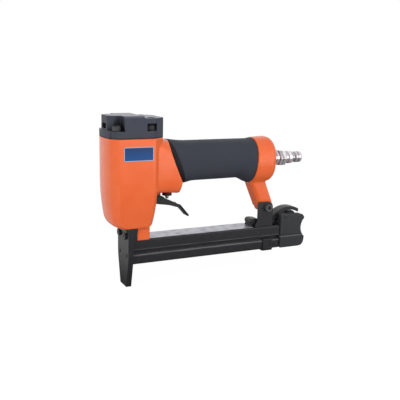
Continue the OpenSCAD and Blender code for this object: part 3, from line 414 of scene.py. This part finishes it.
spring("head_valve_spring", "head_valve_coil", bright_steel, turns=3, wire=0.7 * MM, along=Z_AXIS)
spring("valve_spring", "trigger_valve_coil", bright_steel, turns=6, wire=0.35 * MM, along=Z_AXIS)
spring("pusher_spring", "pusher_coil", bright_steel, turns=34, wire=0.45 * MM, along=X_AXIS)


# Head valve: a black plastic cup with a round ring that slides in the cap and closes the cylinder.
# It lifts against its spring and lets the air in behind the piston.

black_plastic = Finish("black_plastic", IOR=1.46)
mottle = black_plastic.noise(0.6 * MM, 3)
black_plastic.set(
    Base_Color=black_plastic.mix(mottle, rgb(24, 24, 25), rgb(34, 34, 36)),
    Roughness=black_plastic.span(mottle, 0.3, 0.7, 0.4, 0.55),
)
black_plastic.relief(mottle, 0.01 * MM)

machined("head_valve", "head_valve_cup", 0.3 * MM, black_plastic)
machined("head_valve_ring", "head_valve_o_ring", 0.1 * MM, seal_rubber)


# Cap: a light alloy die casting with a satin slate coat, on a thin gasket over the block.
# Open front corners and side windows give room for its bolts, and a slot in front lets the air out.

slate = Finish("slate_coat", IOR=1.32, Coat_Roughness=0.22, Coat_Tint=rgb(246, 246, 255))
cast_grain = slate.noise(0.35 * MM, 2)
_, _, upward = slate.axes(slate.node("ShaderNodeNewGeometry", output="Normal"))
worn = slate.edge_wear_or_painted_highlight(0.6 * MM) * slate.span(slate.noise(3 * MM, 4), 0.4, 0.65)
coat = slate.mix(slate.noise(9 * MM, 3), rgb(58, 61, 71), rgb(66, 69, 80))
# Painted shade: the coat goes near black in corners and hollows, where shadow falls
painted_hollow_shade = slate.span(slate.occlusion(12 * MM), 0.82, 0.5, 0.0, 0.95)
slate.set(
    Base_Color=slate.mix(painted_hollow_shade, slate.mix(worn * 0.5, coat, rgb(118, 120, 126)), rgb(20, 21, 24)),
    Roughness=slate.span(cast_grain, 0.3, 0.7, 0.5, 0.62),
    Coat_Weight=slate.span(upward, 0.7, 0.95, 0.0, 0.65),
)
slate.relief(cast_grain, 0.02 * MM)

machined("cylinder_cap", "cap_casting", 0.45 * MM, slate, steps=3)
machined("cap_gasket", "gasket_sheet", 0.1 * MM, seal_rubber)


# Cap bolts: blackened socket screws through the ledge of the cap into the block.
# Their heads are knurled all round so that they can be started by hand.

def blackened(name, bare_or_painted_highlight=None):
    """Steel with a black oxide coat, worn to metal on its edges, and lighter where
    bare_or_painted_highlight gives a share above 0: plain metal on the knurled heads, a painted highlight
    on the latch lever and along the magazine's slides.
    """
    steel = Finish(name, IOR=1.4)
    oxide = steel.noise(4 * MM, 4)
    scratch = steel.noise(0.5 * MM, 2, steel.stretched(0.06, 1, 1))
    wear_and_painted_highlight = steel.edge_wear_or_painted_highlight(0.35 * MM) * steel.span(steel.noise(2.5 * MM, 4), 0.42, 0.62) * 0.55
    # A piece's own share goes on top: plain metal, or a painted highlight
    if bare_or_painted_highlight:
        wear_and_painted_highlight = wear_and_painted_highlight.most(bare_or_painted_highlight(steel))
    steel.set(
        Base_Color=steel.mix(
            wear_and_painted_highlight, steel.mix(oxide, rgb(34, 34, 36), rgb(42, 42, 45)), rgb(128, 128, 131)),
        Roughness=steel.span(oxide + scratch, 0.7, 1.3, 0.3, 0.46),
    )
    steel.relief(scratch + steel.noise(0.2 * MM, 1), 0.006 * MM)
    return steel


black_steel = blackened("black_steel")
machined("cap_bolts", "cap_screws", 0.3 * MM, black_steel)

knurl_tree, knurl_ids, given = begun(
    "knurled_heads", Ridges="Int", Radius="Float", Height="Float", Depth="Float", Length="Float",
    Width="Float", Place="Vector", Steel="Material")
rim = add(knurl_tree, "GeometryNodeMeshCircle", {"Vertices": given["Ridges"], "Radius": given["Radius"]})
ridge = add(knurl_tree, "GeometryNodeMeshCylinder", {
    "Vertices": 4, "Radius": given["Depth"], "Depth": given["Height"]})
ring = add(knurl_tree, "GeometryNodeInstanceOnPoints", {
    "Points": rim.outputs[0], "Instance": ridge.outputs[0]})
corners = add(knurl_tree, "GeometryNodeMeshGrid", {
    "Size X": given["Length"], "Size Y": given["Width"], "Vertices X": 2, "Vertices Y": 2})
four = add(knurl_tree, "GeometryNodeInstanceOnPoints", {
    "Points": corners.outputs[0], "Instance": ring.outputs[0]})
placed = add(knurl_tree, "GeometryNodeTransform", {
    "Geometry": four.outputs[0], "Translation": given["Place"]})
ended(knurl_tree, placed, given["Steel"])

bolts_low, bolts_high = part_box("cap_bolts")
bolt_head_r = 3.9 * MM
bolt_head_h = 5.0 * MM
bolt_middle = (bolts_low + bolts_high) / 2
bolt_span = bolts_high - bolts_low
knurl_inset = 0.12 * MM
knurl_steel = blackened(
    "knurl_steel", lambda steel: steel.span(steel.noise(1.2 * MM, 3), 0.3, 0.7, 0.1, 0.4))
knurls = grown(
    "cap_screw_knurls", knurl_tree, knurl_ids, Ridges=40, Radius=bolt_head_r - knurl_inset,
    Height=bolt_head_h * 0.7, Depth=0.3 * MM,
    Length=bolt_span.x - 2 * bolt_head_r, Width=bolt_span.y - 2 * bolt_head_r,
    Place=Vector((bolt_middle.x, bolt_middle.y, bolts_high.z - bolt_head_h / 2)),
    Steel=knurl_steel.material)
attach(knurls, "tool")


# Name plate: a thin printed plate stuck on the near side of the block, left plain.
# A pale line runs round its edge, and the blue is lighter towards the bottom.

plate_low, plate_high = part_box("side_plate")
plate_middle = (plate_low + plate_high) / 2
plate_half = (plate_high - plate_low) / 2
print_blue = Finish("plate_print", IOR=1.36, Coat_Weight=0.08, Coat_Roughness=0.12)
plate_x, _, plate_z = print_blue.axes()
past_end = abs(plate_x - plate_middle.x) - plate_half.x
past_side = abs(plate_z - plate_middle.z) - plate_half.z
border = print_blue.span(past_end.most(past_side), -0.75 * MM, -0.55 * MM)
height = print_blue.span(plate_z, plate_low.z, plate_high.z)
ink = print_blue.mix(height, rgb(10, 74, 136), rgb(8, 46, 98))
print_blue.set(
    Base_Color=print_blue.mix(border, ink, rgb(168, 176, 194)),
    Roughness=print_blue.span(print_blue.noise(9 * MM, 2), 0.3, 0.7, 0.3, 0.36),
)
machined("side_plate", "name_plate", 0.12 * MM, print_blue)


# Trigger valve: a turned brass sleeve pressed into the boss under the handle, with two round seals.
# A steel stem sticks out below it for the trigger to push.

brass = Finish("dark_brass", Metallic=1.0)
tarnish = brass.noise(1.5 * MM, 4)
brass.set(
    Base_Color=brass.mix(tarnish, rgb(58, 42, 32), rgb(88, 64, 44)),
    Roughness=brass.span(tarnish, 0.3, 0.7, 0.25, 0.5),
)
brass.relief(brass.noise(0.3 * MM, 2, brass.stretched(0.1, 0.1, 1)), 0.01 * MM)
machined("valve_sleeve", "valve_body", 0.25 * MM, brass)
machined("valve_seals", "valve_o_rings", 0.1 * MM, seal_rubber)
machined("valve_stem", "valve_plunger", 0.15 * MM, bright_steel)


# Trigger: a bent steel pressing, blackened, that swings on a pin in the lug behind the block.
# Its upper side lies under the stem of the valve and pushes it in.

machined("trigger", "trigger_pressing", 0.4 * MM, black_steel, steps=3)
machined("trigger_pin", "trigger_pivot", 0.3 * MM, black_steel)


# Air plug: a turned steel nipple with a bright nickel plate, screwed into the end of the handle.
# Hexagon, ring, groove and nose fit a push-on air coupling; shade is painted dark into the grooves between
# them.

nickel = Finish("nickel_plate", Metallic=0.6)
lathe = nickel.noise(0.25 * MM, 2, nickel.stretched(1, 0.03, 0.03))
# Painted reflection: lighter and darker rings along the plug, mixed into its colour
painted_reflection_bands = nickel.noise(3 * MM, 2, nickel.stretched(1, 0.08, 0.08))
# Painted shade: dark colour in the grooves between the collars
painted_groove_shade = nickel.span(nickel.occlusion(2.5 * MM), 0.95, 0.6)
plate_with_painted_bands = nickel.mix(nickel.span(painted_reflection_bands, 0.4, 0.6), rgb(166, 159, 163), rgb(240, 236, 240))
nickel.set(
    Base_Color=nickel.mix(painted_groove_shade, plate_with_painted_bands, rgb(62, 56, 60)),
    Roughness=nickel.span(lathe, 0.3, 0.7, 0.07, 0.15),
)
nickel.relief(lathe, 0.006 * MM)
machined("air_plug", "air_nipple", 0.35 * MM, nickel, steps=3)


# Grip: a sleeve of dark rubber pulled over the handle bar, its rear rim flared over the handle end.
# Its front end is cut on a slant, and both ends are dark with the shadow of the joint.

grip_rubber = Finish("grip_rubber", IOR=1.33)
pores = grip_rubber.noise(0.5 * MM, 3)
handled = grip_rubber.noise(14 * MM, 4)
plug_low, plug_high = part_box("air_plug")
handle_z = (plug_low.z + plug_high.z) / 2
slant_x = 48.7 * MM
slant = math.radians(21.5)
grip_end = 132 * MM
rim_lean = 0.08
grip_x, _, grip_z = grip_rubber.axes()
from_front = (grip_x - slant_x) * math.cos(slant) + (grip_z - handle_z) * math.sin(slant)
from_rear = (grip_z - handle_z) * rim_lean + grip_end - grip_x
end_shadow = grip_rubber.span(from_front.least(from_rear), 0.2 * MM, 1.0 * MM, 0.9, 0.0)
grip_rubber.set(
    Base_Color=grip_rubber.mix(
        end_shadow, grip_rubber.mix(handled, rgb(50, 53, 61), rgb(57, 60, 69)), rgb(16, 16, 18)),
    Roughness=grip_rubber.span(handled, 0.3, 0.7, 0.6, 0.72),
)
grip_rubber.relief(pores, 0.02 * MM)
grip = moulded("grip_sleeve", "handle_grip", grain=0.55 * MM, passes=5, kept=0.6)
dress(grip, grip_rubber, "grip_sleeve")


# Nose: two blackened steel plates with the driver's channel between them, held by two screws and
# two rivets. The rear plate widens into a flange under the block.

machined("driver_guide", "nose_rear", 0.3 * MM, black_steel)
machined("nose_plate", "nose_front", 0.4 * MM, black_steel, steps=3)
machined("nose_bolts", "nose_screws", 0.25 * MM, black_steel)
machined("nose_rivets", "nose_rivet_heads", 0.2 * MM, black_steel)


# Magazine channel: a long folded steel section, blackened, with outer skirts and inner rails.
# Highlights along the skirt and the tray's lip are painted in as pale lines, and a bare metal strip lies on
# the top.

skirt_h = 10.2 * MM
skirt_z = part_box("magazine_channel")[1].z - skirt_h
lip_h = 9.9 * MM
lip_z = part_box("magazine_tray")[0].z + lip_h
# Painted highlight lines along the skirt's lower edge and the tray's lip
PAINTED_HIGHLIGHT_LINES = [(skirt_z + 0.3 * MM, 0.9 * MM, 0.5), (lip_z - 0.6 * MM, 1.3 * MM, 0.6)]


def painted_highlight_lines(steel):
    """Painted highlights as long pale lines at set heights: each has its height, its half width and how
    light it is.
    """
    _, _, height = steel.axes()
    streak = steel.span(steel.noise(3 * MM, 4, steel.stretched(0.15, 1, 1)), 0.3, 0.62, 0.35, 1.0)
    lines = sum(steel.span(abs(height - line_z), 0.0, half, strength, 0.0)
                for line_z, half, strength in PAINTED_HIGHLIGHT_LINES)
    return lines * streak


slide_steel = blackened("slide_steel", painted_highlight_lines)
machined("magazine_channel", "magazine_rail", 0.4 * MM, slide_steel)

bare_strip = Finish("bare_strip", Metallic=0.75)
grind = bare_strip.noise(0.7 * MM, 3, bare_strip.stretched(0.05, 1, 1))
smudge = bare_strip.span(bare_strip.noise(7 * MM, 5), 0.45, 0.7)
bare_strip.set(
    Base_Color=bare_strip.mix(
        smudge * 0.5, bare_strip.mix(grind, rgb(158, 159, 169), rgb(188, 189, 198)), rgb(128, 129, 138)),
    Roughness=bare_strip.span(grind + smudge, 0.5, 1.6, 0.28, 0.5),
)
bare_strip.relief(grind, 0.008 * MM)
machined("top_strip", "magazine_strip", 0.12 * MM, bare_strip)


# Rear bracket: a folded steel angle riveted on the magazine, with one tall wall bolted to the leg.
# A round toe in front of the wall carries a cross screw, and a short gusset ties it to the wall.

machined("rear_bracket", "bracket_angle", 0.35 * MM, black_steel)
machined("bracket_bolt", "bracket_screw", 0.3 * MM, knurl_steel)
machined("bracket_rivets", "bracket_rivet_heads", 0.2 * MM, black_steel)
machined("toe_screw", "toe_pin", 0.2 * MM, black_steel)

bracket_low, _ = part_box("rear_bracket")
toe_low, toe_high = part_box("toe_screw")
gusset_start = 5.5 * MM
gusset_end = 9.6 * MM
gusset_low = Vector((bracket_low.x + gusset_start, toe_low.y + 2 * MM, bracket_low.z + 0.5 * MM))
gusset_high = Vector((bracket_low.x + gusset_end, toe_high.y - 1 * MM, toe_high.z + 0.2 * MM))
gusset = bpy.data.objects.new("toe_gusset", bpy.data.meshes.new("toe_gusset"))
bpy.context.scene.collection.objects.link(gusset)
shape = bmesh.new()
bmesh.ops.create_cube(shape, size=1.0, matrix=Matrix.LocRotScale(
    (gusset_low + gusset_high) / 2, None, gusset_high - gusset_low))
bmesh.ops.bevel(shape, geom=shape.edges[:], offset=0.4 * MM, segments=2, profile=0.5, affect="EDGES")
shape.to_mesh(gusset.data)
shape.free()
shaded(gusset).data.materials.append(black_steel.material)
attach(gusset, "tool")


# Tray: the lower half of the magazine, a folded trough with a hollow core that the staples straddle.
# It pulls out to the rear; a clip round it gives a foot and a hold, and a pusher runs on a rod in the core.

machined("magazine_tray", "tray_trough", 0.4 * MM, slide_steel)
machined("foot_clip", "tray_foot", 0.3 * MM, black_steel)
machined("pusher", "pusher_shoe", 0.2 * MM, bright_steel)
machined("pusher_rod", "pusher_guide", 0.2 * MM, bright_steel)


# Tail block and latch: a moulded dark grey block on the end of the tray, hollowed for the fingers.
# A highlight is painted round it as a pale line along its seam, and a sprung arched lever on a pin in its
# slot hooks into the channel.

grey_plastic = Finish("grey_plastic", IOR=1.42)
spark = grey_plastic.noise(0.4 * MM, 2)
_, _, tail_z = grey_plastic.axes()
seam_z = lip_z + 2.2 * MM
# Painted highlight: a pale line along the seam
painted_seam_highlight = grey_plastic.span(abs(tail_z - seam_z), 0.2 * MM, 0.7 * MM, 0.35, 0.0)
shade = grey_plastic.mix(grey_plastic.noise(8 * MM, 3), rgb(42, 43, 46), rgb(50, 51, 54))
grey_plastic.set(
    Base_Color=grey_plastic.mix(painted_seam_highlight, shade, rgb(130, 131, 134)),
    Roughness=grey_plastic.span(spark, 0.3, 0.7, 0.42, 0.58),
)
grey_plastic.relief(spark, 0.03 * MM)
tail = moulded("tail_block", "tail_grip", grain=0.3 * MM, passes=2, kept=0.5)
dress(tail, grey_plastic, "tail_block")
# Painted highlight: a wide pale band along the latch lever's edges
lever_steel = blackened("lever_steel", lambda steel: steel.edge_wear_or_painted_highlight(0.9 * MM) * 0.35)
machined("latch_lever", "latch_arch", 0.5 * MM, lever_steel, steps=3)
machined("latch_pin", "latch_pivot", 0.2 * MM, black_steel)
spring("latch_spring", "latch_coil", black_steel, turns=6, wire=0.4 * MM, along=Z_AXIS)


# Studio: a pale floor under the nose and a white sweep behind the tool, with two soft boxes in front.
# Shiny faces mirror a dim room with a bright ceiling and windows to the left, the front and the right;
# the floor is white to the camera and keeps a faint shadow.

floor_size = 6.0
floor_drop = 0.2 * MM
floor_mesh = bpy.data.meshes.new("studio_floor")
floor_mesh.from_pydata(
    [(x * floor_size, y * floor_size, cad_low.z - floor_drop)
     for x, y in ((-1, -1), (1, -1), (1, 1), (-1, 1))],
    [], [(0, 1, 2, 3)])
floor = bpy.data.objects.new("studio_floor", floor_mesh)
bpy.context.scene.collection.objects.link(floor)

# What shiny faces see of the room
room_light = 0.12
left_light = 0.85
right_light = 3.0
ceiling_light = 0.95
# What lights matt faces, and the floor: its grey, its white to the camera, and the white's share of both
fill_light = 0.62
floor_grey = 0.88
floor_white = 1.03
floor_share = 0.94


def joined(tree, operation, first, *others):
    """The product or the largest of several values."""
    for other in others:
        first = add(tree, "ShaderNodeMath", {0: first, 1: other}, operation=operation).outputs[0]
    return first


def fade(tree, value, start, end, low=0.0):
    """Runs softly from low at the start to 1 at the end."""
    return add(tree, "ShaderNodeMapRange", {
        "Value": value, "From Min": start, "From Max": end, "To Min": low, "To Max": 1.0},
        interpolation_type="SMOOTHSTEP").outputs[0]


def by_ray(tree, direct, mirrored):
    """One value for rays from the camera, another for gloss and glass, and 0 for light on matt faces."""
    rays = add(tree, "ShaderNodeLightPath", {}).outputs
    clear = joined(tree, "MAXIMUM", rays["Is Glossy Ray"], rays["Is Transmission Ray"])
    return joined(tree, "MAXIMUM", joined(tree, "MULTIPLY", rays["Is Camera Ray"], direct),
                  joined(tree, "MULTIPLY", clear, mirrored))


pale = bpy.data.materials.new("studio_floor")
pale.use_nodes = True
pale_tree = pale.node_tree
pale_tree.nodes.clear()
shadowed = add(pale_tree, "ShaderNodeBsdfDiffuse", {"Color": (floor_grey, floor_grey, floor_grey, 1)})
floor_spot = add(pale_tree, "ShaderNodeNewGeometry", {}).outputs["Position"]
floor_x, floor_y, _ = add(pale_tree, "ShaderNodeSeparateXYZ", {0: floor_spot}).outputs
# Each edge runs from where a window starts to where it is full, in metres on the floor
sweep = fade(pale_tree, floor_y, 0.05, 0.45, room_light)
front_window = joined(pale_tree, "MULTIPLY", fade(pale_tree, floor_y, -0.22, -0.7),
                      fade(pale_tree, floor_x, 0.0, 0.25))
left_window = joined(pale_tree, "MULTIPLY", fade(pale_tree, floor_x, 0.0, -0.06), left_light)
right_window = joined(pale_tree, "MULTIPLY", fade(pale_tree, floor_y, -0.3, -0.5),
                      fade(pale_tree, floor_x, 0.28, 0.42), right_light)
mirrored = joined(pale_tree, "MAXIMUM", sweep, front_window, right_window, left_window)
level = by_ray(pale_tree, floor_white, mirrored)
share = by_ray(pale_tree, floor_share, 1.0)
white = add(pale_tree, "ShaderNodeEmission", {"Color": (1, 1, 1, 1), "Strength": level})
both = add(pale_tree, "ShaderNodeMixShader", {0: share, 1: shadowed.outputs[0], 2: white.outputs[0]})
add(pale_tree, "ShaderNodeOutputMaterial", {"Surface": both.outputs[0]})
floor_mesh.materials.append(pale)

world = bpy.data.worlds.new("studio_light")
bpy.context.scene.world = world
world.use_nodes = True
sky = world.node_tree
sky.nodes.clear()
way = add(sky, "ShaderNodeTexCoord", {}).outputs["Generated"]
way_x, way_y, way_z = add(sky, "ShaderNodeSeparateXYZ", {0: way}).outputs
far_wall = fade(sky, way_y, -0.4, 0.4, room_light)
ceiling = joined(sky, "MULTIPLY", fade(sky, way_z, 0.2, 0.6), ceiling_light)
right_wall = joined(sky, "MULTIPLY", fade(sky, way_x, 0.2, 0.45), fade(sky, way_y, -0.4, -0.7),
                    fade(sky, way_z, 0.6, 0.3), right_light)
mirrored = joined(sky, "MAXIMUM", far_wall, ceiling, right_wall)
glow = joined(sky, "MAXIMUM", by_ray(sky, 1.0, mirrored), fill_light)
even_light = add(sky, "ShaderNodeBackground", {"Color": (1, 1, 1, 1), "Strength": glow})
add(sky, "ShaderNodeOutputWorld", {"Surface": even_light.outputs[0]})


def lamp(name, spot, aim, size, power):
    """A square soft box of so many watts, turned to its aim and left out of what shiny faces mirror."""
    light = bpy.data.lights.new(name, "AREA")
    light.size = size
    light.energy = power
    body = bpy.data.objects.new(name, light)
    bpy.context.scene.collection.objects.link(body)
    body.location = spot
    body.rotation_euler = (Vector(aim) - Vector(spot)).to_track_quat("-Z", "Y").to_euler()
    body.visible_glossy = False


middle = (cad_low + cad_high) / 2
lamp("key_box", middle + Vector((-0.5, -0.6, 0.6)), aim=middle, size=0.6, power=3.7)
lamp("side_box", middle + Vector((0.7, -0.8, 0.3)), aim=middle, size=0.6, power=2.3)


# Camera: a short telephoto on the near side, a little above the tool and towards its nose.
# Its place, turn and focal length were fitted to the photograph's square frame.

azimuth = math.radians(-25.878)
pitch = math.radians(11.966)
roll = math.radians(1.249)
focal_pixels = 640
image_pixels = 400
camera_place = Vector((-197.04, -566.47, 211.86)) * MM

sideways = Vector((math.cos(azimuth), math.sin(azimuth), 0))
back = Vector((math.sin(azimuth) * math.cos(pitch), -math.cos(azimuth) * math.cos(pitch), math.sin(pitch)))
upright = back.cross(sideways)
right = sideways * math.cos(roll) + upright * math.sin(roll)
up = upright * math.cos(roll) - sideways * math.sin(roll)
camera = bpy.data.objects.new("camera", bpy.data.cameras.new("camera"))
bpy.context.scene.collection.objects.link(camera)
camera.data.sensor_width = 36
camera.data.lens = camera.data.sensor_width * focal_pixels / image_pixels
camera.matrix_world = Matrix.Translation(camera_place) @ Matrix((right, up, back)).transposed().to_4x4()
bpy.context.scene.camera = camera
bpy.context.scene.view_settings.view_transform = "Standard"
